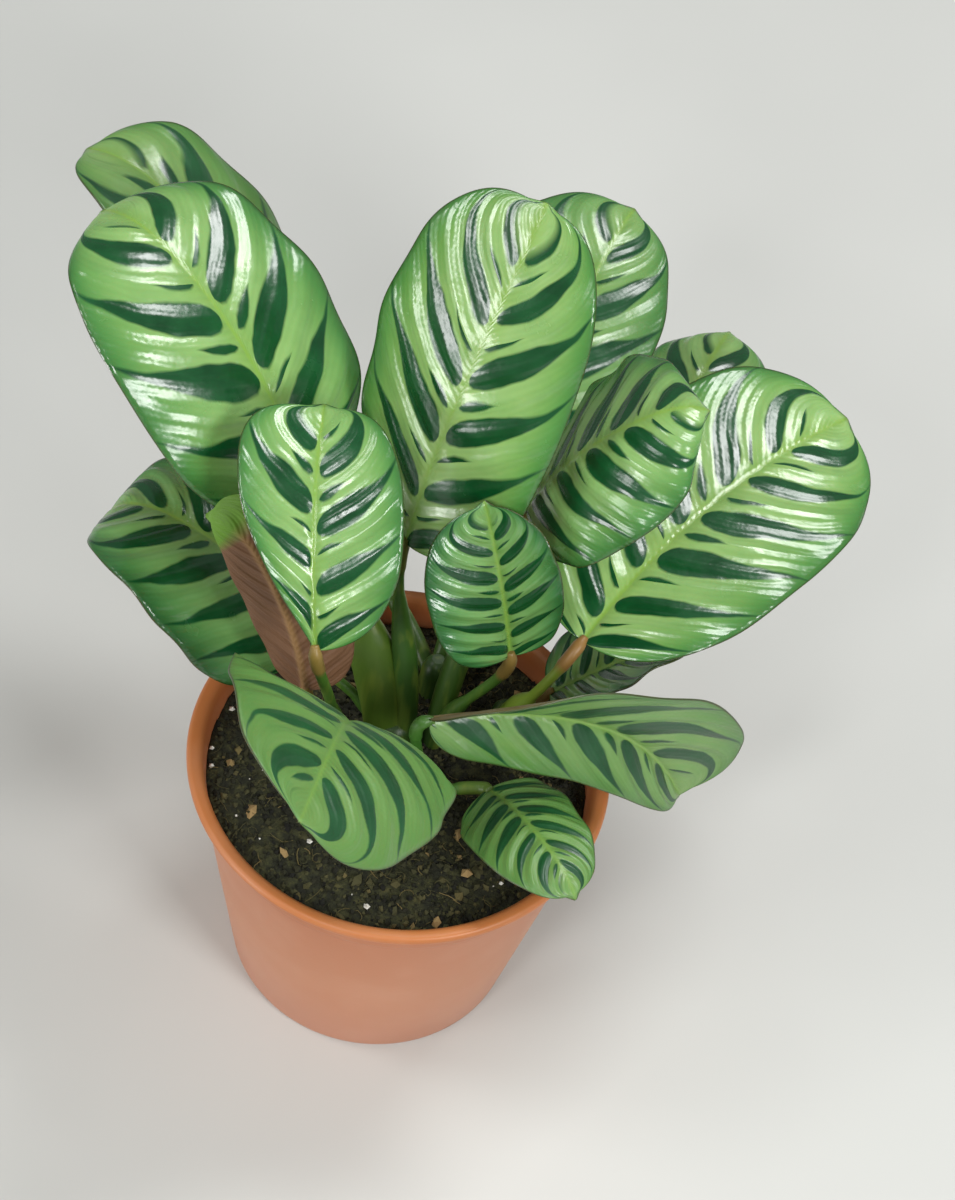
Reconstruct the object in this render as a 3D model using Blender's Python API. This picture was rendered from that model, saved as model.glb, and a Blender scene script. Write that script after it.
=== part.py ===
"""Potted calathea: a young striped-leaf house plant in a round plastic nursery pot.

Metres, Z up. The pot rests on Z = 0 with its axis on the Z axis, and the plant is
looked at from -Y. Each leaf blade, each shoot of stems, the soil and the pot is one solid.
"""
from collections import namedtuple
from math import cos, pi, radians, sin

import bmesh
import bpy
import numpy as np
from mathutils import Matrix, Vector

MM = 0.001
FIT_GAP = 0.3 * MM          # clearance of the soil in the pot and of the stems in the soil

for old in list(bpy.data.objects):
    bpy.data.objects.remove(old, do_unlink=True)


# Shared helpers

def plain_material(name, colour, roughness):
    """A material with one colour and one roughness."""
    material = bpy.data.materials.new(name)
    material.use_nodes = True
    shader = material.node_tree.nodes["Principled BSDF"]
    shader.inputs["Base Color"].default_value = (*colour, 1.0)
    shader.inputs["Roughness"].default_value = roughness
    return material


def solid(name, vertices, faces, material):
    """A closed mesh object whose faces look outwards."""
    mesh = bpy.data.meshes.new(name)
    mesh.from_pydata([tuple(v) for v in vertices], [], faces)
    tidy = bmesh.new()
    tidy.from_mesh(mesh)
    bmesh.ops.recalc_face_normals(tidy, faces=tidy.faces)
    tidy.to_mesh(mesh)
    tidy.free()
    mesh.materials.append(material)
    piece = bpy.data.objects.new(name, mesh)
    bpy.context.collection.objects.link(piece)
    return piece


def lathe(name, profile, sides, material):
    """A profile of (radius, height) turned about the Z axis; radius 0 closes it on the axis."""
    vertices, rings, faces = [], [], []
    for radius, height in profile:
        if radius == 0:
            rings.append([len(vertices)] * sides)
            vertices.append((0, 0, height))
        else:
            rings.append(list(range(len(vertices), len(vertices) + sides)))
            for k in range(sides):
                angle = 2 * pi * k / sides
                vertices.append((radius * cos(angle), radius * sin(angle), height))
    closed = profile[0][0] != 0
    pairs = list(zip(rings, rings[1:])) + ([(rings[-1], rings[0])] if closed else [])
    for lower, upper in pairs:
        for k in range(sides):
            n = (k + 1) % sides
            corners = [lower[k], lower[n], upper[n], upper[k]]
            faces.append(tuple(dict.fromkeys(corners)))
    return solid(name, vertices, faces, material)


def combine(target, others, operation):
    """Join the other solids to the target, or cut them out of it, and remove them."""
    for other in others:
        step = target.modifiers.new(operation.lower(), "BOOLEAN")
        step.operation = operation
        step.solver = "MANIFOLD"
        step.object = other
        bpy.context.view_layer.objects.active = target
        bpy.ops.object.modifier_apply(modifier=step.name)
        bpy.data.objects.remove(other, do_unlink=True)


def shift(offset):
    """A matrix that moves by an offset."""
    return Matrix.Translation(Vector(offset))


# Pot: thin-walled, tapered, with a collar, a rolled lip and drain holes

POT_HEIGHT = 90 * MM
RIM_RADIUS = 60 * MM
RIM_TUCK = 2.6 * MM         # how far the lip stands out from the collar
LIP_DEPTH = 3.2 * MM
COLLAR_DEPTH = 11 * MM      # from the rim down to the step
COLLAR_STEP = 0.8 * MM
BASE_RADIUS = 41.5 * MM
WALL = 1.6 * MM
FLOOR = 2 * MM
CHANNEL_INNER, CHANNEL_OUTER, CHANNEL_RISE = 28 * MM, 37 * MM, 2.5 * MM
DRAIN_HOLES, DRAIN_RADIUS = 8, 2.5 * MM
POT_SIDES = 72

COLLAR_BOTTOM = POT_HEIGHT - COLLAR_DEPTH
COLLAR_TOP_RADIUS = RIM_RADIUS - RIM_TUCK
COLLAR_LOW_RADIUS = COLLAR_TOP_RADIUS - 1.2 * MM
WALL_TOP_RADIUS = COLLAR_LOW_RADIUS - COLLAR_STEP


def pot_outside(height):
    """Outer radius of the tapered wall below the collar."""
    return BASE_RADIUS + (WALL_TOP_RADIUS - BASE_RADIUS) * height / COLLAR_BOTTOM


def pot_inside(height):
    """Inner radius of the pot at a height above its floor."""
    if height <= COLLAR_BOTTOM:
        return pot_outside(height) - WALL
    share = (height - COLLAR_BOTTOM) / COLLAR_DEPTH
    return WALL_TOP_RADIUS - WALL + (COLLAR_TOP_RADIUS - WALL_TOP_RADIUS) * share


def build_pot():
    """The pot with its raised drain channel and a ring of holes through the channel."""
    terracotta = plain_material("terracotta plastic", (0.62, 0.26, 0.16), 0.45)
    channel_top = CHANNEL_RISE + FLOOR
    profile = [
        (0, 0), (CHANNEL_INNER, 0), (CHANNEL_INNER + CHANNEL_RISE, CHANNEL_RISE),
        (CHANNEL_OUTER, CHANNEL_RISE), (CHANNEL_OUTER + 1.2 * MM, 0), (BASE_RADIUS - 1.2 * MM, 0),
        (BASE_RADIUS - 0.3 * MM, 0.4 * MM), (pot_outside(1.6 * MM), 1.6 * MM),
        (pot_outside(COLLAR_BOTTOM), COLLAR_BOTTOM),
        (COLLAR_LOW_RADIUS, COLLAR_BOTTOM + 0.7 * MM),
        (COLLAR_TOP_RADIUS, POT_HEIGHT - LIP_DEPTH),
        (RIM_RADIUS - 0.7 * MM, POT_HEIGHT - LIP_DEPTH + 0.2 * MM),
        (RIM_RADIUS, POT_HEIGHT - LIP_DEPTH + 1.0 * MM),
        (RIM_RADIUS, POT_HEIGHT - 0.9 * MM),
        (RIM_RADIUS - 0.6 * MM, POT_HEIGHT - 0.2 * MM),
        (RIM_RADIUS - 1.5 * MM, POT_HEIGHT),
        (COLLAR_TOP_RADIUS - 0.4 * MM, POT_HEIGHT - 0.3 * MM),
        (pot_inside(POT_HEIGHT - 1.4 * MM), POT_HEIGHT - 1.4 * MM),
        (pot_inside(COLLAR_BOTTOM), COLLAR_BOTTOM),
        (pot_inside(channel_top), channel_top), (0, channel_top),
    ]
    pot = lathe("pot", profile, POT_SIDES, terracotta)
    drains = []
    middle = (CHANNEL_INNER + CHANNEL_RISE + CHANNEL_OUTER) / 2
    for k in range(DRAIN_HOLES):
        angle = 2 * pi * k / DRAIN_HOLES
        drain = lathe("drain", [(0, 1 * MM), (DRAIN_RADIUS, 1 * MM), (DRAIN_RADIUS, 8 * MM), (0, 8 * MM)],
                      16, terracotta)
        drain.data.transform(shift((middle * cos(angle), middle * sin(angle), 0)))
        drains.append(drain)
    combine(pot, drains, "DIFFERENCE")
    return pot


build_pot()


# Leaves: where each blade starts, how it lies and how large it is
#
# base: start of the blade, mm. heading: compass angle of the midrib, 0 away from the viewer and
# 90 to the right. rise: slope of the midrib at the base. droop: how much the slope falls by the
# tip. tip_curl: more fall in the last third. swerve: sideways bend. roll and twist: how the blade
# turns about its midrib, right side up. left and right: how each half leaves the midrib, as the
# fold there and the curl on to the margin, upwards. widest: below 1 the blade is widest nearer
# its base. skew: how much wider the right half is than the left. pinch: how much nearer the tip the
# left half is widest than the right. Angles in degrees.

Leaf = namedtuple("Leaf", "base heading rise droop tip_curl swerve roll twist length width"
                          " left right widest skew pinch", defaults=(0.0,))

LEAVES = {
    "leaf_back_left": Leaf((-40, 85, 112), -63, 67, 32, 56, -11, -14, 3, 120, 68,
                           (12, -10), (10, -17), 0.96, -0.06),
    "leaf_upper_left": Leaf((-37, 34, 157), -57, 70, 63, 47, -2, 0, -6, 105, 70,
                            (5, -34), (6, -12), 0.97, -0.04),
    "leaf_top": Leaf((-9, 27, 153), 35, 80, 22, -13, -2, 3, -17, 113, 63,
                     (-10, -8), (0, -26), 0.90, -0.06, 0.12),
    "leaf_back_top": Leaf((14, 68, 128), 17, 53, 48, 16, 1, -8, -3, 97, 58,
                          (9, -20), (3, -22), 0.91, -0.11),
    "leaf_centre_left": Leaf((-27, -17, 157), -19, 55, 33, 26, 17, -1, 5, 66, 45,
                             (11, -6), (16, -11), 1.78, 0.06, 0.41),
    "leaf_centre_right": Leaf((22, 39, 162), 89, 77, 52, 50, -15, 2, 2, 67, 63,
                              (-7, -12), (-5, -46), 0.89, -0.03),
    "leaf_back_right": Leaf((40, 69, 105), 32, 36, 42, 19, -16, 2, 0, 92, 49,
                            (-1, -39), (2, -25), 0.92, 0.04),
    "leaf_right": Leaf((44, 20, 132), 29, 21, 30, -1, 16, 0, -10, 110, 69,
                       (10, -9), (10, -19), 1.03, 0.03),
    "leaf_centre": Leaf((25, 8, 136), -50, 74, 14, -1, 6, 12, 19, 50, 38,
                        (14, -16), (23, 0), 0.97, -0.13),
    "leaf_left": Leaf((-30, 18, 108), -56, 48, 57, 60, -26, 4, -23, 77, 62,
                      (4, -20), (14, -14), 0.87, -0.09),
    "leaf_turned": Leaf((-29, 0, 115), -66, 79, 28, 56, -11, -110, -14, 69, 27,
                        (6, 4), (6, 4), 0.91, -0.26),
    "leaf_front_left": Leaf((-14, -21, 127), -177, 72, 63, -12, 5, 2, 35, 100, 70,
                            (11, -43), (9, -17), 0.98, -0.04),
    "leaf_tucked": Leaf((39, 30, 92), 69, 35, 17, 26, 2, 4, 20, 44, 37,
                        (12, -15), (21, -3), 0.92, 0.02),
    "leaf_low_right": Leaf((6, -11, 126), 69, 3, 78, -7, -3, -69, 33, 107, 49,
                           (54, 7), (6, -8), 0.84, -0.31),
    "leaf_front_right": Leaf((26, -6, 91), 150, 45, 46, 37, -7, -11, 24, 54, 32,
                             (8, -23), (-2, -29), 0.91, 0.06),
}

BLADE_THICKNESS = 0.8 * MM
BLADE_NECK = 1.1 * MM       # half width where the blade meets its stem
BLADE_TIP = 0.5 * MM        # half width left at the tip
OUTLINE_POWER = 2.4         # 2 gives an ellipse, more gives fuller ends
STATIONS_ALONG, STATIONS_HALF = 13, 3


def half_outline(share, widest):
    """Half width of a blade as a share of its greatest, from base (0) to tip (1)."""
    return (1 - abs(2 * share ** widest - 1) ** OUTLINE_POWER) ** (1 / OUTLINE_POWER)


def midrib(leaf, share):
    """Position, direction, right-hand side and upward normal at a share of the midrib's length."""
    steps = np.linspace(0, 1, 121)
    slope = np.radians(leaf.rise - leaf.droop * steps
                       - leaf.tip_curl * np.clip((steps - 0.7) / 0.3, 0, 1) ** 2)
    turn = np.radians(leaf.heading + leaf.swerve * steps)
    along = np.stack([np.cos(slope) * np.sin(turn), np.cos(slope) * np.cos(turn), np.sin(slope)], 1)
    walk = np.cumsum((along[1:] + along[:-1]) / 2, axis=0) * leaf.length * MM / 120
    track = np.array(leaf.base) * MM + np.concatenate([np.zeros((1, 3)), walk])
    at = np.array([np.interp(share, steps, track[:, k]) for k in range(3)])
    ahead = np.array([np.interp(share, steps, along[:, k]) for k in range(3)])
    ahead /= np.linalg.norm(ahead)
    heading = radians(leaf.heading + leaf.swerve * share)
    level = np.array([cos(heading), -sin(heading), 0])
    up = np.cross(level, ahead)
    roll = radians(leaf.roll + leaf.twist * share)
    return at, ahead, cos(roll) * level + sin(roll) * up, cos(roll) * up - sin(roll) * level


def blade_row(leaf, share, half):
    """Points across the blade at one station, from the left margin to the right one."""
    at, _, side, up = midrib(leaf, share)
    least = BLADE_NECK + (BLADE_TIP - BLADE_NECK) * share
    row = []
    for k in range(-half, half + 1):
        sign = -1 if k < 0 else 1
        fold, curl = (radians(a) for a in (leaf.left if k < 0 else leaf.right))
        width = half_outline(share, leaf.widest * (1 - sign * leaf.pinch))
        width *= leaf.width * MM / 2 * (1 + sign * leaf.skew)
        width = max(width, least)
        out = abs(k) / half
        steps = np.linspace(0, out, 9)
        angles = fold + curl * steps
        reach = np.trapz(np.cos(angles), steps) * width
        lift = np.trapz(np.sin(angles), steps) * width
        row.append(at + sign * side * reach + up * lift)
    return row


def build_blade(name, leaf, material):
    """A thin curved sheet between two faces that are divided into the same triangles."""
    shares = [0.6 * s + 0.2 * (1 - cos(pi * s)) for s in np.linspace(0, 1, STATIONS_ALONG)]
    grid = np.array([blade_row(leaf, s, STATIONS_HALF) for s in shares])
    across = np.gradient(grid, axis=1)
    ahead = np.gradient(grid, axis=0)
    normal = np.cross(across, ahead)
    normal[0] = midrib(leaf, 0)[3]
    normal /= np.linalg.norm(normal, axis=2, keepdims=True)
    rows, columns = grid.shape[:2]
    upper = (grid + normal * BLADE_THICKNESS / 2).reshape(-1, 3)
    lower = (grid - normal * BLADE_THICKNESS / 2).reshape(-1, 3)
    under = rows * columns
    faces, edge = [], []
    for i in range(rows - 1):
        for j in range(columns - 1):
            a, b = i * columns + j, i * columns + j + 1
            c, d = a + columns, b + columns
            cut = [(a, b, d), (a, d, c)] if j >= columns // 2 else [(a, b, c), (b, d, c)]
            faces += cut + [tuple(under + v for v in reversed(t)) for t in cut]
    edge += [j for j in range(columns)]
    edge += [i * columns + columns - 1 for i in range(1, rows)]
    edge += [(rows - 1) * columns + j for j in range(columns - 2, -1, -1)]
    edge += [i * columns for i in range(rows - 2, 0, -1)]
    for a, b in zip(edge, edge[1:] + edge[:1]):
        faces += [(a, under + a, b), (b, under + a, under + b)]
    return solid(name, list(upper) + list(lower), faces, material)


leaf_green = plain_material("striped leaf", (0.22, 0.46, 0.12), 0.3)
for leaf_name, leaf_values in LEAVES.items():
    build_blade(leaf_name, leaf_values, leaf_green)


# Stems: each shoot is a short crown in the soil with one leaf stalk for each of its leaves

SOIL_TOP = 82 * MM
CROWN_DEPTH = 12 * MM       # how deep a crown stands in the soil
STALK_START = 1.5 * MM      # height of the stalks' feet inside the crown, above the soil
STALK_RADIUS, PULVINUS_RADIUS = 1.5 * MM, 1.9 * MM
PULVINUS_LENGTH = 11 * MM   # the thicker joint just below the blade
BLADE_GAP = 0.6 * MM        # between the end of a stalk and its blade
STALK_SIDES, STALK_RINGS = 10, 14

# crown: position, mm. radius and height of the crown, mm.
Shoot = namedtuple("Shoot", "crown radius height leaves")
# leave: the length, mm, over which the stalk leaves the crown upwards. join: the length over which
# it lines up with its blade. sheath: radius of its sheathed lower part, mm. reach: the share of
# its length that is sheathed. foot: shift of its foot from the crown's centre, mm. depth: how
# deep it is from front to back as a share of its width.
Stalk = namedtuple("Stalk", "leave join sheath reach foot depth", defaults=(2.6, 0.45, (0, 0), 1.0))

SHOOTS = {
    "stems_main": Shoot((-3.2, 12), 6.2, 10, {
        "leaf_upper_left": Stalk(45, 14, 6.8, 0.62, (-2.4, 0), 0.7),
        "leaf_top": Stalk(40, 20, 3.6, 0.75, (3.2, 0)), "leaf_left": Stalk(10, 6, foot=(-2, 1))}),
    "stems_left": Shoot((-18, 3), 4.0, 12, {
        "leaf_centre_left": Stalk(30, 8), "leaf_turned": Stalk(12, 8)}),
    "stems_centre": Shoot((8.4, 14.5), 3.6, 12, {
        "leaf_centre_right": Stalk(40, 14, 3.6, 0.6), "leaf_centre": Stalk(20, 10)}),
    "stems_right": Shoot((27, 22), 4.2, 12, {
        "leaf_right": Stalk(10, 20, 3.8, 0.5), "leaf_tucked": Stalk(4, 5)}),
    "stems_back": Shoot((6, 32), 5.0, 14, {
        "leaf_back_top": Stalk(20, 14), "leaf_back_right": Stalk(14, 14),
        "leaf_back_left": Stalk(16, 16)}),
    "stems_front": Shoot((-5, -7), 3.6, 8, {"leaf_front_left": Stalk(16, 12)}),
    "stems_low": Shoot((8, -8), 3.6, 9, {
        "leaf_low_right": Stalk(20, 8), "leaf_front_right": Stalk(6, 6)}),
}


def curve_point(points, share):
    """A point on the cubic curve of four control points."""
    a, b, c, d = points
    rest = 1 - share
    return a * rest ** 3 + 3 * b * rest ** 2 * share + 3 * c * rest * share ** 2 + d * share ** 3


def stalk_path(shoot, leaf, stalk):
    """Centre line of a stalk, from inside its crown to just short of its blade."""
    at, ahead, _, _ = midrib(leaf, 0)
    end = Vector(at - ahead * BLADE_GAP)
    x, y = (shoot.crown[k] * MM + stalk.foot[k] * MM for k in (0, 1))
    foot = Vector((x, y, SOIL_TOP + STALK_START))
    lean = (Vector((end.x, end.y, foot.z)) - foot) * 0.15
    controls = (foot, foot + lean + Vector((0, 0, stalk.leave * MM)),
                end - Vector(ahead) * stalk.join * MM, end)
    return [curve_point(controls, k / (STALK_RINGS - 1)) for k in range(STALK_RINGS)]


def tube(name, path, radii, depth, sides, material):
    """A round or flattened tube along a path, closed by flat ends."""
    vertices, faces = [], []
    side = Vector((1, 0, 0))
    for k, point in enumerate(path):
        ahead = (path[min(k + 1, len(path) - 1)] - path[max(k - 1, 0)]).normalized()
        side = (side - ahead * side.dot(ahead)).normalized()
        other = ahead.cross(side)
        for s in range(sides):
            angle = 2 * pi * s / sides
            vertices.append(point + (side * cos(angle) + other * sin(angle) * depth) * radii[k])
    for k in range(len(path) - 1):
        for s in range(sides):
            a, b = k * sides + s, k * sides + (s + 1) % sides
            faces.append((a, b, b + sides, a + sides))
    faces.append(tuple(range(sides)))
    faces.append(tuple(range(len(vertices) - sides, len(vertices))))
    return solid(name, vertices, faces, material)


def stalk_radii(path, stalk):
    """Radius along a stalk: a wide sheath, a slim upper part and the joint at the blade."""
    total = sum((b - a).length for a, b in zip(path, path[1:]))
    radii, walked = [], 0
    for k, point in enumerate(path):
        walked += (point - path[k - 1]).length if k else 0
        share = walked / total / stalk.reach
        swell = 0.8 + 0.2 * min(1, share / 0.4)
        fade = 1 - (max(0, min(1, share) - 0.6) / 0.4) ** 1.5
        radius = STALK_RADIUS + (stalk.sheath * MM - STALK_RADIUS) * swell * fade
        if total - walked < PULVINUS_LENGTH:
            radius = PULVINUS_RADIUS
        radii.append(radius)
    radii[-1] = PULVINUS_RADIUS * 0.7
    return radii


def build_shoot(name, shoot, material):
    """The crown with its stalks joined to it as one solid."""
    x, y = (v * MM for v in shoot.crown)
    radius, top = shoot.radius * MM, SOIL_TOP + shoot.height * MM
    crown = lathe(name, [(0, SOIL_TOP - CROWN_DEPTH), (radius * 0.9, SOIL_TOP - CROWN_DEPTH),
                         (radius, SOIL_TOP - CROWN_DEPTH + 1 * MM), (radius, SOIL_TOP),
                         (radius * 0.94, (SOIL_TOP + top) / 2), (radius * 0.8, top - 2 * MM),
                         (radius * 0.5, top), (0, top)], 20, material)
    crown.data.transform(shift((x, y, 0)))
    stalks = []
    for leaf_name, stalk in shoot.leaves.items():
        path = stalk_path(shoot, LEAVES[leaf_name], stalk)
        radii = stalk_radii(path, stalk)
        stalks.append(tube("stalk", path, radii, stalk.depth, STALK_SIDES, material))
    combine(crown, stalks, "UNION")
    return crown


stem_green = plain_material("green stem", (0.13, 0.30, 0.07), 0.5)
for shoot_name, shoot_values in SHOOTS.items():
    build_shoot(shoot_name, shoot_values, stem_green)


# Soil: fills the pot to below the rim, with a plain round hole for every crown

SOIL_RINGS = [0.0, 0.25, 0.5, 0.75, 0.93]       # shares of the radius where the top changes height
SOIL_RISES = [0.0, 0.4, -0.3, 0.3, -0.6, -1.6]  # heights of the top there and at the wall, mm


def build_soil():
    """A plug of soil 0.3 mm clear of the pot all round."""
    peat = plain_material("peat soil", (0.03, 0.02, 0.012), 0.95)
    low = CHANNEL_RISE + FLOOR + FIT_GAP
    edge = SOIL_TOP + SOIL_RISES[-1] * MM
    profile = [(0, low), (pot_inside(low) - FIT_GAP, low),
               (pot_inside(COLLAR_BOTTOM) - FIT_GAP, COLLAR_BOTTOM), (pot_inside(edge) - FIT_GAP, edge)]
    for share, rise in reversed(list(zip(SOIL_RINGS, SOIL_RISES))):
        profile.append((share * pot_inside(edge), SOIL_TOP + rise * MM))
    soil = lathe("soil", profile, POT_SIDES, peat)
    holes = []
    for shoot in SHOOTS.values():
        bottom, radius = SOIL_TOP - CROWN_DEPTH - FIT_GAP, shoot.radius * MM + FIT_GAP
        hole = lathe("hole", [(0, bottom), (radius, bottom), (radius, SOIL_TOP + 5 * MM),
                              (0, SOIL_TOP + 5 * MM)], 24, peat)
        hole.data.transform(shift((shoot.crown[0] * MM, shoot.crown[1] * MM, 0)))
        holes.append(hole)
    combine(soil, holes, "DIFFERENCE")
    return soil


build_soil()
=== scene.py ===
"""Potted calathea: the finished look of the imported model, with its floor, lights and camera."""
from collections import namedtuple
from math import cos, pi, radians, sin

import bpy
import numpy as np
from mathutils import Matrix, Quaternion, Vector, noise


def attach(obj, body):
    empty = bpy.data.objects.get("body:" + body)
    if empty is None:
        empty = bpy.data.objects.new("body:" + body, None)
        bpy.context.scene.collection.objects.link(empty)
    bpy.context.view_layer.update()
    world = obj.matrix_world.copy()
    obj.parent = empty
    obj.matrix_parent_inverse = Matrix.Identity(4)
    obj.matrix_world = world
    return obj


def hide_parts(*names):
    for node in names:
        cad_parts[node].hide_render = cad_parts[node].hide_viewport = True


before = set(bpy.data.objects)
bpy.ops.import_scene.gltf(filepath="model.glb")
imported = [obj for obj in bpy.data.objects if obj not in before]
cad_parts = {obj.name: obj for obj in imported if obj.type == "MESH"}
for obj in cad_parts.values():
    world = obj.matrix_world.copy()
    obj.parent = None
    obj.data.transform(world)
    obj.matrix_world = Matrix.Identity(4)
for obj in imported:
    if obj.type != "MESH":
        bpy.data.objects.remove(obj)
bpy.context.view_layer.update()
MM = 0.001


# Pot
# A thin nursery pot of terracotta-coloured polypropylene, injection moulded in one shot. The
# rolled lip is the stiffest part; its top is painted a little brighter than the wall, a painted
# highlight where the light falls on it.

def srgb(code):
    """A colour written as sRGB hex, as the linear values a shader takes."""
    parts = [int(code[i:i + 2], 16) / 255 for i in (1, 3, 5)]
    linear = [c / 12.92 if c <= 0.04045 else ((c + 0.055) / 1.055) ** 2.4 for c in parts]
    return (*linear, 1.0)


def fill(node, settings):
    """Give a node its settings: a property, or a socket's value, colour or source."""
    for key, value in settings.items():
        if key == "stops":
            while len(node.color_ramp.elements) < len(value):
                node.color_ramp.elements.new(0.5)
            for element, (position, tone) in zip(node.color_ramp.elements, value):
                element.position = position
                element.color = srgb(tone) if isinstance(tone, str) else (tone, tone, tone, 1.0)
        elif isinstance(value, bpy.types.NodeSocket):
            node.id_data.links.new(value, node.inputs[key])
        elif isinstance(key, str) and hasattr(node, key):
            setattr(node, key, value)
        else:
            node.inputs[key].default_value = srgb(value) if isinstance(value, str) else value


def add(material, kind, settings, out=0):
    """One shader node with its settings and links, and the output that is used of it."""
    node = material.node_tree.nodes.new("ShaderNode" + kind)
    fill(node, settings)
    return node.outputs[out]


def per(size):
    """A pattern's scale: how many of its features, of a size in mm, lie side by side in a metre."""
    return 1 / (size * MM)


def finish_material(name):
    """A new material and its shader."""
    material = bpy.data.materials.new(name)
    material.use_nodes = True
    return material, material.node_tree.nodes["Principled BSDF"]


def deselect():
    """Leave nothing selected before a new piece is made."""
    if bpy.context.object and bpy.context.object.mode != "OBJECT":
        bpy.ops.object.mode_set(mode="OBJECT")
    bpy.ops.object.select_all(action="DESELECT")


def turned(name, profile, sides):
    """A body of revolution: a circle extruded and resized from ring to ring, its first and last ring
    left open.
    """
    deselect()
    radius, height = profile[0]
    bpy.ops.mesh.primitive_circle_add(vertices=sides, radius=radius, location=(0, 0, height),
                                      fill_type="NOTHING")
    piece = bpy.context.object
    piece.name = name
    bpy.ops.object.transform_apply(location=True, rotation=False, scale=False)
    bpy.ops.object.mode_set(mode="EDIT")
    bpy.ops.mesh.select_all(action="SELECT")
    for new_radius, new_height in profile[1:]:
        rise = (0, 0, new_height - height)
        bpy.ops.mesh.extrude_region_move(TRANSFORM_OT_translate={"value": rise})
        share = new_radius / radius
        bpy.ops.transform.resize(value=(share, share, 1), center_override=(0, 0, new_height))
        radius, height = new_radius, new_height
    bpy.ops.mesh.select_all(action="SELECT")
    bpy.ops.mesh.remove_doubles(threshold=1e-6)
    bpy.ops.mesh.normals_make_consistent(inside=False)
    bpy.ops.object.mode_set(mode="OBJECT")
    return piece


def close_open_rings(piece):
    """Close a turned body's first and last ring with a face each."""
    deselect()
    piece.select_set(True)
    bpy.context.view_layer.objects.active = piece
    bpy.ops.object.mode_set(mode="EDIT")
    bpy.ops.mesh.select_all(action="DESELECT")
    bpy.ops.mesh.select_mode(type="EDGE")
    bpy.ops.mesh.select_non_manifold()
    bpy.ops.mesh.edge_face_add()
    bpy.ops.mesh.select_all(action="SELECT")
    bpy.ops.mesh.normals_make_consistent(inside=False)
    bpy.ops.object.mode_set(mode="OBJECT")


POT_HEIGHT, RIM_RADIUS, BASE_RADIUS, WALL = 90 * MM, 60 * MM, 41.5 * MM, 1.6 * MM
LIP_DEPTH, LIP_ROUND = 3.2 * MM, 1.3 * MM           # depth of the rolled lip, half its width
COLLAR_BOTTOM = 79 * MM
COLLAR_TOP_RADIUS, COLLAR_LOW_RADIUS = 57.4 * MM, 56.2 * MM
WALL_TOP_RADIUS = 55.4 * MM
FLOOR_TOP = 4.5 * MM
DISC_RADIUS, CHANNEL_OUTER, CHANNEL_RISE = 28 * MM, 37 * MM, 2.5 * MM       # underside
HUB = 0.2 * MM              # smallest ring, closed by a face
POT_SIDES = 160


def pot_outside(height):
    """Outer radius of the tapered wall below the collar."""
    return BASE_RADIUS + (WALL_TOP_RADIUS - BASE_RADIUS) * height / COLLAR_BOTTOM


def pot_inside(height):
    """Inner radius of the pot."""
    if height <= COLLAR_BOTTOM:
        return pot_outside(height) - WALL
    share = (height - COLLAR_BOTTOM) / (POT_HEIGHT - COLLAR_BOTTOM)
    return WALL_TOP_RADIUS - WALL + (COLLAR_TOP_RADIUS - WALL_TOP_RADIUS) * share


def rounded_lip(steps=9):
    """The rolled lip's section, from under its outside round to the inside."""
    points = [(COLLAR_TOP_RADIUS, POT_HEIGHT - LIP_DEPTH)]
    for k in range(steps):
        angle = radians(-80 + 170 * k / (steps - 1))
        points.append((RIM_RADIUS - LIP_ROUND + LIP_ROUND * cos(angle),
                       POT_HEIGHT - LIP_DEPTH / 2 + LIP_DEPTH / 2 * sin(angle)))
    points += [(COLLAR_TOP_RADIUS, POT_HEIGHT - 0.1 * MM),
               (COLLAR_TOP_RADIUS - 0.9 * MM, POT_HEIGHT - 0.5 * MM),
               (pot_inside(POT_HEIGHT - LIP_DEPTH / 2), POT_HEIGHT - LIP_DEPTH / 2)]
    return points


pot_profile = [
    (HUB, 0), (DISC_RADIUS, 0), (DISC_RADIUS + CHANNEL_RISE, CHANNEL_RISE),
    (CHANNEL_OUTER, CHANNEL_RISE), (CHANNEL_OUTER + 1.2 * MM, 0),
    (BASE_RADIUS - 1.6 * MM, 0), (BASE_RADIUS - 0.7 * MM, 0.25 * MM),
    (BASE_RADIUS - 0.1 * MM, 0.9 * MM), (pot_outside(2 * MM), 2 * MM),
    (pot_outside(30 * MM), 30 * MM), (pot_outside(60 * MM), 60 * MM),
    (pot_outside(COLLAR_BOTTOM), COLLAR_BOTTOM),
    (COLLAR_LOW_RADIUS - 0.1 * MM, COLLAR_BOTTOM + 0.4 * MM),
    (COLLAR_LOW_RADIUS, COLLAR_BOTTOM + 0.9 * MM), *rounded_lip(),
    (pot_inside(COLLAR_BOTTOM), COLLAR_BOTTOM), (pot_inside(40 * MM), 40 * MM),
    (pot_inside(FLOOR_TOP), FLOOR_TOP), (HUB, FLOOR_TOP),
]
pot_look = turned("pot_look", pot_profile, POT_SIDES)
close_open_rings(pot_look)
bpy.ops.object.shade_smooth_by_angle(angle=radians(50))

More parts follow.
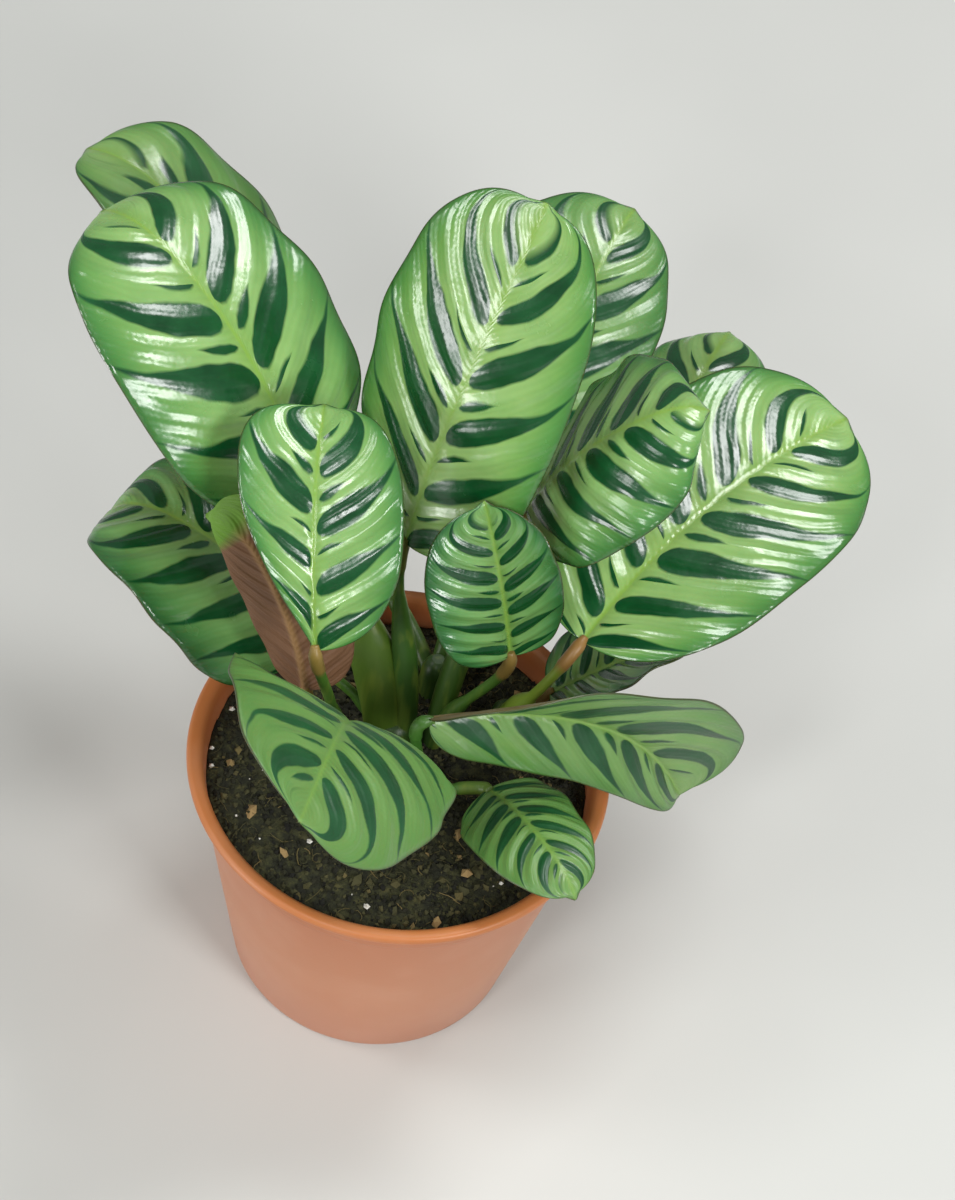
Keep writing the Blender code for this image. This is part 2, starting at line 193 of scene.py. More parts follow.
# Moulded polypropylene: satin, a faint orange peel, slightly chalky where water has dried
plastic, plastic_shader = finish_material("moulded terracotta polypropylene")
place = add(plastic, "TexCoord", {}, "Object")
height = add(plastic, "SeparateXYZ", {0: place}, "Z")
by_height = add(plastic, "Math", {"operation": "DIVIDE", 0: height, 1: POT_HEIGHT})
# darker up the wall towards the collar; the last stop, on the rolled lip, is a painted highlight
wall_colour_and_lip_highlight = add(plastic, "ValToRGB", {"Fac": by_height, "stops": [
    (0.0, "#C6886B"), (0.45, "#C18260"), (0.86, "#B6734F"), (0.955, "#B2673A"), (1.0, "#C07742")]})
cloud = add(plastic, "TexNoise", {"Scale": per(26.3), "Detail": 3.0, "Vector": place})
chalk = add(plastic, "ValToRGB", {"Fac": cloud, "stops": [(0.45, 0.0), (0.8, 1.0)]})
chalk_share = add(plastic, "Math", {"operation": "MULTIPLY", 0: chalk, 1: 0.16})
plastic_colour = add(plastic, "Mix", {"data_type": "RGBA", 0: chalk_share, 6: wall_colour_and_lip_highlight,
                                      7: "#DFB198"}, 2)
# the peel is drawn at 1.1 mm, coarser than on a real pot, so that it shows
peel = add(plastic, "TexNoise", {"Scale": per(1.11), "Detail": 2.0, "Vector": place})
peel_bump = add(plastic, "Bump", {"Strength": 0.12, "Distance": 0.2 * MM, "Height": peel})
fill(plastic_shader, {"Base Color": plastic_colour, "Normal": peel_bump, "Roughness": 0.42,
                      "IOR": 1.49, "Subsurface Weight": 0.08, "Subsurface Scale": 2 * MM})
pot_look.data.materials.append(plastic)
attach(pot_look, "root")
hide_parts("pot")


# Leaf blades
# Thin glossy leaves, pale green with dark feather-shaped stripes along the side veins, a
# mid-green border and a brownish underside. Each hangs on its own stalk by its midrib.

# The same values as the solids have. base: start of the blade, mm. heading: compass angle of the
# midrib there, 0 away from the viewer and 90 to the right. rise: its slope at the base, and droop:
# how much of that it loses on the way to the tip. tip_curl: further droop of the last third.
# swerve: how far it turns to the right on the way. roll: tilt of the blade about the midrib, and
# twist: what it gains on the way. length and width: flat size, mm. left and right: fold of each
# half at the midrib, then its curl to the margin, both upwards. widest: over 1 puts the widest
# place nearer the tip. skew: how much wider the right half is. pinch: how much nearer the tip the
# left half is widest. All angles are in degrees.
Leaf = namedtuple("Leaf", "base heading rise droop tip_curl swerve roll twist length width"
                          " left right widest skew pinch", defaults=(0.0,))

LEAVES = {
    "leaf_back_left": Leaf((-40, 85, 112), -63, 67, 32, 56, -11, -14, 3, 120, 68,
                           (12, -10), (10, -17), 0.96, -0.06),
    "leaf_upper_left": Leaf((-37, 34, 157), -57, 70, 63, 47, -2, 0, -6, 105, 70,
                            (5, -34), (6, -12), 0.97, -0.04),
    "leaf_top": Leaf((-9, 27, 153), 35, 80, 22, -13, -2, 3, -17, 113, 63,
                     (-10, -8), (0, -26), 0.90, -0.06, 0.12),
    "leaf_back_top": Leaf((14, 68, 128), 17, 53, 48, 16, 1, -8, -3, 97, 58,
                          (9, -20), (3, -22), 0.91, -0.11),
    "leaf_centre_left": Leaf((-27, -17, 157), -19, 55, 33, 26, 17, -1, 5, 66, 45,
                             (11, -6), (16, -11), 1.78, 0.06, 0.41),
    "leaf_centre_right": Leaf((22, 39, 162), 89, 77, 52, 50, -15, 2, 2, 67, 63,
                              (-7, -12), (-5, -46), 0.89, -0.03),
    "leaf_back_right": Leaf((40, 69, 105), 32, 36, 42, 19, -16, 2, 0, 92, 49,
                            (-1, -39), (2, -25), 0.92, 0.04),
    "leaf_right": Leaf((44, 20, 132), 29, 21, 30, -1, 16, 0, -10, 110, 69,
                       (10, -9), (10, -19), 1.03, 0.03),
    "leaf_centre": Leaf((25, 8, 136), -50, 74, 14, -1, 6, 12, 19, 50, 38,
                        (14, -16), (23, 0), 0.97, -0.13),
    "leaf_left": Leaf((-30, 18, 108), -56, 48, 57, 60, -26, 4, -23, 77, 62,
                      (4, -20), (14, -14), 0.87, -0.09),
    "leaf_turned": Leaf((-29, 0, 115), -66, 79, 28, 56, -11, -110, -14, 69, 27,
                        (6, 4), (6, 4), 0.91, -0.26),
    "leaf_front_left": Leaf((-14, -21, 127), -177, 72, 63, -12, 5, 2, 35, 100, 70,
                            (11, -43), (9, -17), 0.98, -0.04),
    "leaf_tucked": Leaf((39, 30, 92), 69, 35, 17, 26, 2, 4, 20, 44, 37,
                        (12, -15), (21, -3), 0.92, 0.02),
    "leaf_low_right": Leaf((6, -11, 126), 69, 3, 78, -7, -3, -69, 33, 107, 49,
                           (54, 7), (6, -8), 0.84, -0.31),
    "leaf_front_right": Leaf((26, -6, 91), 150, 45, 46, 37, -7, -11, 24, 54, 32,
                             (8, -23), (-2, -29), 0.91, 0.06),
}

# Long stripes along each blade, and how far they are shifted on its left and its right half, as a
# share of their spacing; then how blue and dark the leaf is, partly its own deeper green and
# partly painted shade on leaves that lie in shade, how dull, and how green the tip of its
# underside is, from 0 to 1
Dress = namedtuple("Dress", "stripes left_shift right_shift shade dull tip",
                   defaults=(0.1, 0.0, 0.3))

DRESS = {
    "leaf_back_left": Dress(3.6, 0.10, 0.27, 0.25, 0.5),
    "leaf_upper_left": Dress(5.2, 0.60, 0.40, 0.3), "leaf_top": Dress(5.8, 0.57, 0.45, 0.0),
    "leaf_back_top": Dress(5.2, 0.10, 0.35, 0.6, 0.25),
    "leaf_centre_left": Dress(4.2, 0.0, 0.42, 0.3),
    "leaf_centre_right": Dress(5.2, 0.30, 0.0, 0.35),
    "leaf_back_right": Dress(5.0, 0.20, 0.50, 0.3), "leaf_right": Dress(6.0, 0.0, 0.7),
    "leaf_centre": Dress(6.2, 0.15, 0.60, 0.85), "leaf_left": Dress(5.4, 0.0, 0.30, 0.7),
    "leaf_turned": Dress(5.5, 0.30, 0.80, 0.3, 0.0, 1.0),
    "leaf_front_left": Dress(6.5, 0.25, 0.60, 0.45, 1.0),
    "leaf_tucked": Dress(5.5, 0.10, 0.40, 0.6), "leaf_low_right": Dress(5.4, 0.45, 0.15, 0.2, 0.7),
    "leaf_front_right": Dress(6.5, 0.20, 0.70, 0.4, 0.9),
}

BLADE_THICKNESS = 0.5 * MM
BLADE_NECK, BLADE_TIP = 1.1 * MM, 0.35 * MM
OUTLINE_POWER = 2.4
ROWS, HALF_COLUMNS = 110, 26
QUILT_HEIGHT = 0.34                             # mm, between the side veins
GROOVE_DEPTH, GROOVE_WIDTH = 0.5, 1.2           # mm, over the midrib
RIB_HEIGHT, RIB_WIDTH = 0.9, 1.0                # mm, under the midrib
MARGIN_WAVES, MARGIN_WAVE_HEIGHT = 3.4, 1.0     # along a blade; mm on one 70 mm wide
TIP_POINT = 1.6 * MM                            # how far the tip runs to a point
VEIN_LEAN_BASE, VEIN_LEAN_GAIN = 0.19, 0.20     # how far a side vein runs forward, share of length


def blade_frames(leaf, share):
    """Midrib positions, directions, right-hand sides and normals at an array of shares."""
    steps = np.linspace(0, 1, 121)
    slope = np.radians(leaf.rise - leaf.droop * steps
                       - leaf.tip_curl * np.clip((steps - 0.7) / 0.3, 0, 1) ** 2)
    turn = np.radians(leaf.heading + leaf.swerve * steps)
    along = np.stack([np.cos(slope) * np.sin(turn), np.cos(slope) * np.cos(turn), np.sin(slope)], 1)
    walk = np.cumsum((along[1:] + along[:-1]) / 2, axis=0) * leaf.length * MM / 120
    track = np.array(leaf.base) * MM + np.concatenate([np.zeros((1, 3)), walk])
    at = np.stack([np.interp(share, steps, track[:, k]) for k in range(3)], 1)
    ahead = np.stack([np.interp(share, steps, along[:, k]) for k in range(3)], 1)
    ahead /= np.linalg.norm(ahead, axis=1, keepdims=True)
    heading = np.radians(leaf.heading + leaf.swerve * share)
    level = np.stack([np.cos(heading), -np.sin(heading), 0 * heading], 1)
    up = np.cross(level, ahead)
    roll = np.radians(leaf.roll + leaf.twist * share)[:, None]
    side = np.cos(roll) * level + np.sin(roll) * up
    return at, ahead, side, np.cos(roll) * up - np.sin(roll) * level


def vein_start(along, across):
    """Where on the midrib the side vein through a point begins, as a share of the length."""
    lean = 0.6 * across + 0.4 * across ** 2.6
    return (along - VEIN_LEAN_BASE * lean) / (1 + VEIN_LEAN_GAIN * lean)


def note(mesh, mark, values):
    """Keep a value on every point of a mesh, for its material to read."""
    layer = mesh.attributes.new(mark, "FLOAT", "POINT")
    layer.data.foreach_set("value", np.array(values, dtype=np.float32))


def blade_mesh(name, leaf, seed):
    """A fine blade on the same surface as its solid, quilted between its veins and waved."""
    dress = DRESS[name]
    even = np.linspace(0, 1, ROWS)
    along = 0.25 * even + 0.375 * (1 - np.cos(pi * even))
    at, ahead, side, up = blade_frames(leaf, along)
    least = BLADE_NECK + (BLADE_TIP - BLADE_NECK) * along
    columns = np.linspace(-1, 1, 2 * HALF_COLUMNS + 1)
    columns = np.sign(columns) * (0.82 * np.abs(columns) + 0.18 * np.abs(columns) ** 3)
    grid = np.zeros((ROWS, len(columns), 3))
    width_mm = np.zeros((ROWS, len(columns)))
    for j, column in enumerate(columns):
        sign, out = (-1, -column) if column < 0 else (1, column)
        fold, curl = np.radians(leaf.left if column < 0 else leaf.right)
        curl = curl if abs(curl) > 1e-4 else 1e-4
        fullest = along ** (leaf.widest * (1 - sign * leaf.pinch))
        half = np.clip(1 - np.abs(2 * fullest - 1) ** OUTLINE_POWER, 0, 1) ** (1 / OUTLINE_POWER)
        width = np.maximum(half * leaf.width * MM / 2 * (1 + sign * leaf.skew), least)
        reach = (sin(fold + curl * out) - sin(fold)) / curl
        lift = (cos(fold) - cos(fold + curl * out)) / curl
        grid[:, j] = at + sign * side * (width * reach)[:, None] + up * (width * lift)[:, None]
        width_mm[:, j] = width / MM
    across = np.gradient(grid, axis=1)
    forward = np.gradient(grid, axis=0)
    normal = np.cross(across, forward)
    normal[0] = up[0]
    normal /= np.linalg.norm(normal, axis=2, keepdims=True)
    s = np.abs(columns)[None, :] + 0 * along[:, None]
    t = along[:, None] + 0 * s
    start = vein_start(t, s)
    from_rib = s * width_mm
    ends = np.clip(np.minimum(t, 1 - t) / 0.12, 0, 1)
    shift = np.where(columns > 0, dress.right_shift, dress.left_shift)
    phase = start * dress.stripes + shift[None, :]
    ridge = np.cos(2 * pi * 2 * phase) + 0.5 * np.cos(2 * pi * phase)
    quilt = QUILT_HEIGHT * ridge * np.clip(s / 0.15, 0, 1) * np.clip((1 - s) / 0.2, 0, 1) * ends
    turns = MARGIN_WAVES * t + 0.21 * seed + 0.3 * (columns[None, :] > 0)
    wave = MARGIN_WAVE_HEIGHT * s ** 3 * np.sin(2 * pi * turns) * ends
    groove = -GROOVE_DEPTH * np.exp(-(from_rib / GROOVE_WIDTH) ** 2) * np.clip(1.1 - t, 0, 1)
    body = grid + normal * ((quilt * 0.6 + wave * leaf.width / 70) * MM)[..., None]
    upper = body + normal * (BLADE_THICKNESS / 2 + (groove + quilt * 0.4) * MM)[..., None]
    rib = RIB_HEIGHT * np.exp(-(from_rib / RIB_WIDTH) ** 2) * (1.05 - t)
    lower = body - normal * (BLADE_THICKNESS / 2 + rib * MM)[..., None]
    upper[-1] += ahead[-1] * TIP_POINT
    lower[-1] += ahead[-1] * TIP_POINT
    rows, count = ROWS, len(columns)
    under = rows * count
    i, j = np.meshgrid(np.arange(rows - 1), np.arange(count - 1), indexing="ij")
    a = (i * count + j).ravel()
    top_faces = np.stack([a, a + 1, a + 1 + count, a + count], 1)
    faces = top_faces.tolist() + (under + top_faces[:, ::-1]).tolist()
    edge = list(range(count)) + [k * count + count - 1 for k in range(1, rows)]
    edge += [(rows - 1) * count + k for k in range(count - 2, -1, -1)]
    edge += [k * count for k in range(rows - 2, 0, -1)]
    faces += [(p, under + p, under + q, q) for p, q in zip(edge, edge[1:] + edge[:1])]
    mesh = bpy.data.meshes.new(name + "_look")
    points = np.concatenate([upper.reshape(-1, 3), lower.reshape(-1, 3)])
    mesh.from_pydata(points.tolist(), [], faces)
    # the shade value carries each leaf's own bluer green together with its painted shade
    marks = {"vein": phase, "vein_start": start, "across": s, "along": t, "rib_mm": from_rib,
             "rim_mm": (1 - s) * width_mm, "shade": 0 * s + dress.shade,
             "dull": 0 * s + dress.dull, "tip": 0 * s + dress.tip}
    for mark, values in marks.items():
        note(mesh, mark, np.concatenate([values.ravel(), values.ravel()]))
    mesh.polygons.foreach_set("use_smooth", [True] * len(mesh.polygons))
    indices = [0] * len(top_faces) + [1] * len(top_faces) + [0] * len(edge)
    blade = bpy.data.objects.new(name + "_look", mesh)
    bpy.context.collection.objects.link(blade)
    mesh.materials.append(top_skin)
    mesh.materials.append(underside)
    mesh.polygons.foreach_set("material_index", indices)
    mesh.update()
    return blade


def striped(material, edge_softness=0.05):
    """Mask of the long and the short stripes, with what else the skin needs of the veins."""
    vein = add(material, "Attribute", {"attribute_name": "vein"}, "Fac")
    out = add(material, "Attribute", {"attribute_name": "across"}, "Fac")
    start = add(material, "Attribute", {"attribute_name": "vein_start"}, "Fac")
    place = add(material, "TexCoord", {}, "Object")
    drift = add(material, "TexNoise", {"Scale": per(18.2), "Detail": 2.0, "Vector": place})
    sway = add(material, "Math", {"operation": "SUBTRACT", 0: drift, 1: 0.5})
    vein = add(material, "Math", {"operation": "MULTIPLY_ADD", 0: sway, 1: 0.3, 2: vein})
    cell = add(material, "Math", {"operation": "FLOOR", 0: vein})
    chance = add(material, "TexWhiteNoise", {"noise_dimensions": "1D", "W": cell}, "Value")
    within = add(material, "Math", {"operation": "FRACT", 0: vein})
    within = add(material, "Math", {"operation": "SUBTRACT", 0: within, 1: 0.5})
    spot = add(material, "Math", {"operation": "ABSOLUTE", 0: within})
    lens = add(material, "ValToRGB", {"Fac": out, "stops": [
        (0.0, 0.0), (0.028, 0.0), (0.036, 0.3), (0.055, 0.55), (0.1, 0.8), (0.19, 0.96),
        (0.33, 1.0), (0.5, 0.88), (0.66, 0.6), (0.8, 0.34), (0.9, 0.22), (0.97, 0.12)]})
    widest = add(material, "Math", {"operation": "MULTIPLY_ADD", 0: chance, 1: 0.07, 2: 0.24})
    wide = add(material, "Math", {"operation": "MULTIPLY", 0: lens, 1: widest})
    inside = add(material, "Math", {"operation": "SUBTRACT", 0: wide, 1: spot})
    long_mask = add(material, "Math", {"operation": "DIVIDE", "use_clamp": True, 0: inside,
                                       1: edge_softness})
    short_lens = add(material, "ValToRGB", {"Fac": out, "stops": [
        (0.0, 0.0), (0.04, 0.0), (0.06, 0.5), (0.1, 0.9), (0.18, 1.0), (0.27, 0.7), (0.38, 0.0)]})
    odd = add(material, "Math", {"operation": "GREATER_THAN", 0: chance, 1: 0.35})
    odd = add(material, "Math", {"operation": "MULTIPLY", 0: odd, 1: 0.12})
    narrow = add(material, "Math", {"operation": "MULTIPLY", 0: short_lens, 1: odd})
    rest = add(material, "Math", {"operation": "SUBTRACT", 0: 0.5, 1: spot})
    inside = add(material, "Math", {"operation": "SUBTRACT", 0: narrow, 1: rest})
    short_mask = add(material, "Math", {"operation": "DIVIDE", "use_clamp": True, 0: inside,
                                        1: edge_softness})
    both = add(material, "Math", {"operation": "MAXIMUM", 0: long_mask, 1: short_mask})
    tip_free = add(material, "Math", {"operation": "SUBTRACT", 0: 0.885, 1: start})
    tip_free = add(material, "Math", {"operation": "DIVIDE", "use_clamp": True, 0: tip_free,
                                      1: 0.04})
    stripes = add(material, "Math", {"operation": "MULTIPLY", 0: both, 1: tip_free})
    return stripes, vein, out, place, tip_free


# Upper skin: waxy cuticle over green tissue, glossy, with the stripes darker
top_skin, top_shader = finish_material("waxy striped leaf skin")
stripe, vein, out, place, tip_free = striped(top_skin)
# per leaf, how far the ground turns from the bright ramp to the deep one: partly the leaf's own bluer
# green, partly painted shade on leaves that lie in shade
shade = add(top_skin, "Attribute", {"attribute_name": "shade"}, "Fac")
bright = add(top_skin, "ValToRGB", {"Fac": out, "stops": [
    (0.0, "#8DB35A"), (0.2, "#98BF72"), (0.55, "#8DB668"), (0.76, "#75A654"), (0.9, "#548F42"),
    (1.0, "#3A7133")]})
deep = add(top_skin, "ValToRGB", {"Fac": out, "stops": [
    (0.0, "#6C9A4A"), (0.25, "#78A75F"), (0.6, "#659A57"), (0.8, "#437F48"), (0.9, "#2B6939"),
    (1.0, "#1E532D")]})
ground = add(top_skin, "Mix", {"data_type": "RGBA", 0: shade, 6: bright, 7: deep}, 2)
dull = add(top_skin, "Attribute", {"attribute_name": "dull"}, "Fac")
faded = add(top_skin, "Math", {"operation": "MULTIPLY", 0: dull, 1: 0.8})
ground = add(top_skin, "Mix", {"data_type": "RGBA", 0: faded, 6: ground, 7: "#5F873E"}, 2)
mottle = add(top_skin, "TexNoise", {"Scale": per(9.1), "Detail": 4.0, "Vector": place})
patches = add(top_skin, "ValToRGB", {"Fac": mottle, "stops": [(0.42, 0.0), (0.75, 0.32)]})
ground = add(top_skin, "Mix", {"data_type": "RGBA", 0: patches, 6: ground, 7: "#4F8A40"}, 2)
fine = add(top_skin, "Math", {"operation": "MULTIPLY", 0: vein, 1: 2 * pi * 8})
fine = add(top_skin, "Math", {"operation": "SINE", 0: fine})
fine_share = add(top_skin, "Math", {"operation": "MULTIPLY_ADD", 0: fine, 1: 0.04, 2: 0.04})
fine_share = add(top_skin, "Math", {"operation": "MULTIPLY", 0: fine_share, 1: tip_free})
ground = add(top_skin, "Mix", {"data_type": "RGBA", 0: fine_share, 6: ground, 7: "#3F7A30"}, 2)
dark_patches = add(top_skin, "ValToRGB", {"Fac": mottle, "stops": [(0.3, 0.0), (0.7, 1.0)]})
dark = add(top_skin, "Mix", {"data_type": "RGBA", 0: dark_patches, 6: "#03401C", 7: "#085225"}, 2)
skin = add(top_skin, "Mix", {"data_type": "RGBA", 0: stripe, 6: ground, 7: dark}, 2)
from_rib = add(top_skin, "Attribute", {"attribute_name": "rib_mm"}, "Fac")
rib = add(top_skin, "Math", {"operation": "SUBTRACT", "use_clamp": True, 0: 0.95, 1: from_rib})
rib_share = add(top_skin, "Math", {"operation": "MULTIPLY_ADD", 0: dull, 1: -0.55, 2: 1.0})
rib = add(top_skin, "Math", {"operation": "MULTIPLY", 0: rib, 1: rib_share})
skin = add(top_skin, "Mix", {"data_type": "RGBA", 0: rib, 6: skin, 7: "#84AC48"}, 2)
from_rim = add(top_skin, "Attribute", {"attribute_name": "rim_mm"}, "Fac")
rim_share = add(top_skin, "Math", {"operation": "DIVIDE", 0: from_rim, 1: 0.5})
rim = add(top_skin, "Math", {"operation": "SUBTRACT", "use_clamp": True, 0: 1.0, 1: rim_share})
skin = add(top_skin, "Mix", {"data_type": "RGBA", 0: rim, 6: skin, 7: "#3C4A20"}, 2)
fine_bump = add(top_skin, "Bump", {"Strength": 0.1, "Distance": 0.2 * MM, "Height": fine})
grain = add(top_skin, "TexNoise", {"Scale": per(3.85), "Detail": 2.0, "Vector": place})
grain_bump = add(top_skin, "Bump", {"Strength": 0.25, "Distance": 0.6 * MM, "Height": grain,
                                    "Normal": fine_bump})
waxy = add(top_skin, "ValToRGB", {"Fac": mottle, "stops": [(0.3, 0.19), (0.75, 0.3)]})
gloss = add(top_skin, "Math", {"operation": "MULTIPLY_ADD", 0: dull, 1: 0.2, 2: waxy})
fill(top_shader, {"Base Color": skin, "Normal": grain_bump, "Roughness": gloss, "IOR": 1.62,
                  "Subsurface Weight": 0.1, "Subsurface Scale": 2 * MM})

# Underside: matt, flushed brown over green that shows again at the tip, with raised veins
underside, under_shader = finish_material("brown flushed leaf underside")
under_stripe, under_vein, _, under_place, _ = striped(underside, 0.12)
blush = add(underside, "TexNoise", {"Scale": per(22.2), "Detail": 3.0, "Vector": under_place})
brown = add(underside, "Mix", {"data_type": "RGBA", 0: blush, 6: "#7E5A40", 7: "#5F4229"}, 2)
faint_stripe = add(underside, "Math", {"operation": "MULTIPLY", 0: under_stripe, 1: 0.3})
brown = add(underside, "Mix", {"data_type": "RGBA", 0: faint_stripe, 6: brown, 7: "#573A28"}, 2)
from_rib = add(underside, "Attribute", {"attribute_name": "rib_mm"}, "Fac")
under_rib = add(underside, "Math", {"operation": "SUBTRACT", "use_clamp": True, 0: 1.4,
                                    1: from_rib})
brown = add(underside, "Mix", {"data_type": "RGBA", 0: under_rib, 6: brown, 7: "#8A6840"}, 2)
along = add(underside, "Attribute", {"attribute_name": "along"}, "Fac")
green_tip = add(underside, "ValToRGB", {"Fac": along, "stops": [(0.84, 0.0), (0.91, 1.0)]})
tip = add(underside, "Attribute", {"attribute_name": "tip"}, "Fac")
green_tip = add(underside, "Math", {"operation": "MULTIPLY", 0: green_tip, 1: tip})
brown = add(underside, "Mix", {"data_type": "RGBA", 0: green_tip, 6: brown, 7: "#5F8A26"}, 2)
dull = add(underside, "Attribute", {"attribute_name": "dull"}, "Fac")
green_share = add(underside, "Math", {"operation": "MULTIPLY", 0: dull, 1: 0.35})
brown = add(underside, "Mix", {"data_type": "RGBA", 0: green_share, 6: brown, 7: "#56782F"}, 2)
under_lines = add(underside, "Math", {"operation": "MULTIPLY", 0: under_vein, 1: 2 * pi * 6})
under_lines = add(underside, "Math", {"operation": "SINE", 0: under_lines})
under_bump = add(underside, "Bump", {"Strength": 0.2, "Distance": 0.3 * MM, "Height": under_lines})
fill(under_shader, {"Base Color": brown, "Normal": under_bump, "Roughness": 0.5})

for number, (leaf_name, leaf_values) in enumerate(LEAVES.items()):
    blade = blade_mesh(leaf_name, leaf_values, number)
    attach(blade, "root")
    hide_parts(leaf_name)


# Stems
# Shoots of slim leaf stalks rising from a sheathed crown. Each stalk is green, streaked
# lengthways, and ends in a smooth olive-brown joint that carries the blade.

SOIL_TOP = 82 * MM
CROWN_DEPTH, STALK_START = 12 * MM, 1.5 * MM
STALK_RADIUS, PULVINUS_RADIUS, PULVINUS_LENGTH = 1.5 * MM, 1.9 * MM, 11 * MM
CROWN_RINGS, CROWN_SIDES = 14, 28
STALK_RINGS, STALK_SIDES = 44, 24

# crown: where the shoot stands, mm. radius and height: of its sheathed crown, mm.
Shoot = namedtuple("Shoot", "crown radius height leaves")
# leave: the length, mm, over which the stalk leaves the crown upwards. join: the length over which
# it lines up with its blade. sheath: radius of its sheathed lower part, mm. reach: the share of
# its length that is sheathed. foot: shift of its foot from the crown's centre, mm. depth: how
# deep it is from front to back as a share of its width.
Stalk = namedtuple("Stalk", "leave join sheath reach foot depth", defaults=(2.6, 0.45, (0, 0), 1.0))

SHOOTS = {
    "stems_main": Shoot((-3.2, 12), 6.2, 10, {
        "leaf_upper_left": Stalk(45, 14, 6.8, 0.62, (-2.4, 0), 0.7),
        "leaf_top": Stalk(40, 20, 3.6, 0.75, (3.2, 0)), "leaf_left": Stalk(10, 6, foot=(-2, 1))}),
    "stems_left": Shoot((-18, 3), 4.0, 12, {
        "leaf_centre_left": Stalk(30, 8), "leaf_turned": Stalk(12, 8)}),
    "stems_centre": Shoot((8.4, 14.5), 3.6, 12, {
        "leaf_centre_right": Stalk(40, 14, 3.6, 0.6), "leaf_centre": Stalk(20, 10)}),
    "stems_right": Shoot((27, 22), 4.2, 12, {
        "leaf_right": Stalk(10, 20, 3.8, 0.5), "leaf_tucked": Stalk(4, 5)}),
    "stems_back": Shoot((6, 32), 5.0, 14, {
        "leaf_back_top": Stalk(20, 14), "leaf_back_right": Stalk(14, 14),
        "leaf_back_left": Stalk(16, 16)}),
    "stems_front": Shoot((-5, -7), 3.6, 8, {"leaf_front_left": Stalk(16, 12)}),
    "stems_low": Shoot((8, -8), 3.6, 9, {
        "leaf_low_right": Stalk(20, 8), "leaf_front_right": Stalk(6, 6)}),
}

# How yellow a leaf's stalk is, and how brown the joint below the blade, from 0 to 1
STALK_TONES = {"leaf_right": (0.9, 1.0), "leaf_low_right": (0.0, 0.0),
               "leaf_front_right": (0.1, 0.1), "leaf_upper_left": (0.35, 0.5),
               "leaf_top": (0.1, 0.4)}
PLAIN_STALK = (0.15, 0.8)


def stalk_line(shoot, leaf, stalk, points):
    """Centre line of a stalk from its crown on to the start of its blade."""
    at, ahead, _, _ = blade_frames(leaf, np.array([0.0]))
    at, ahead = Vector(at[0]), Vector(ahead[0])
    x, y = (shoot.crown[k] * MM + stalk.foot[k] * MM for k in (0, 1))
    foot = Vector((x, y, SOIL_TOP + STALK_START))
    lean = (Vector((at.x, at.y, foot.z)) - foot) * 0.15
    a, b, c, d = foot, foot + lean + Vector((0, 0, stalk.leave * MM)), at - ahead * stalk.join * MM, at
    line = []
    for k in range(points):
        s = k / (points - 1)
        r = 1 - s
        line.append(a * r ** 3 + 3 * b * r * r * s + 3 * c * r * s * s + d * s ** 3)
    return line + [at + ahead * 0.8 * MM, at + ahead * 1.6 * MM]


def tube_parts(line, radii, sides, flatten=1.0):
    """Points, faces and the share of the length for a round tube with closed ends."""
    points, faces, lengths = [], [], []
    side, walked = Vector((1, 0, 0)), 0.0
    for k, centre in enumerate(line):
        ahead = (line[min(k + 1, len(line) - 1)] - line[max(k - 1, 0)]).normalized()
        side = (side - ahead * side.dot(ahead)).normalized()
        other = ahead.cross(side)
        walked += (centre - line[k - 1]).length if k else 0.0
        for s in range(sides):
            angle = 2 * pi * s / sides
            points.append(centre + (side * cos(angle) + other * sin(angle) * flatten) * radii[k])
            lengths.append(walked)
    for k in range(len(line) - 1):
        for s in range(sides):
            a, b = k * sides + s, k * sides + (s + 1) % sides
            faces.append((a, b, b + sides, a + sides))
    faces.append(tuple(range(sides))[::-1])
    faces.append(tuple(range(len(points) - sides, len(points))))
    return points, faces, [v / walked for v in lengths]


def stalk_radii(line, stalk):
    """Radius along a stalk: a wide sheath, a slim upper part and the joint at the blade."""
    total = sum((b - a).length for a, b in zip(line, line[1:]))
    walked, radii = 0.0, []
    for k, centre in enumerate(line):
        walked += (centre - line[k - 1]).length if k else 0.0
        share = walked / total / stalk.reach
        swell = 0.8 + 0.2 * min(1, share / 0.4)
        fade = 1 - (max(0, min(1, share) - 0.6) / 0.4) ** 1.5
        radius = STALK_RADIUS + (stalk.sheath * MM - STALK_RADIUS) * swell * fade
        joint = np.clip((walked - total + PULVINUS_LENGTH + 1.5 * MM) / (2 * MM), 0, 1)
        radius += (PULVINUS_RADIUS - radius) * joint
        left = (total - walked) / MM
        radii.append(radius * (0.45 + 0.55 * min(1.0, (left + 0.6) / 3.5)))
    return radii, total


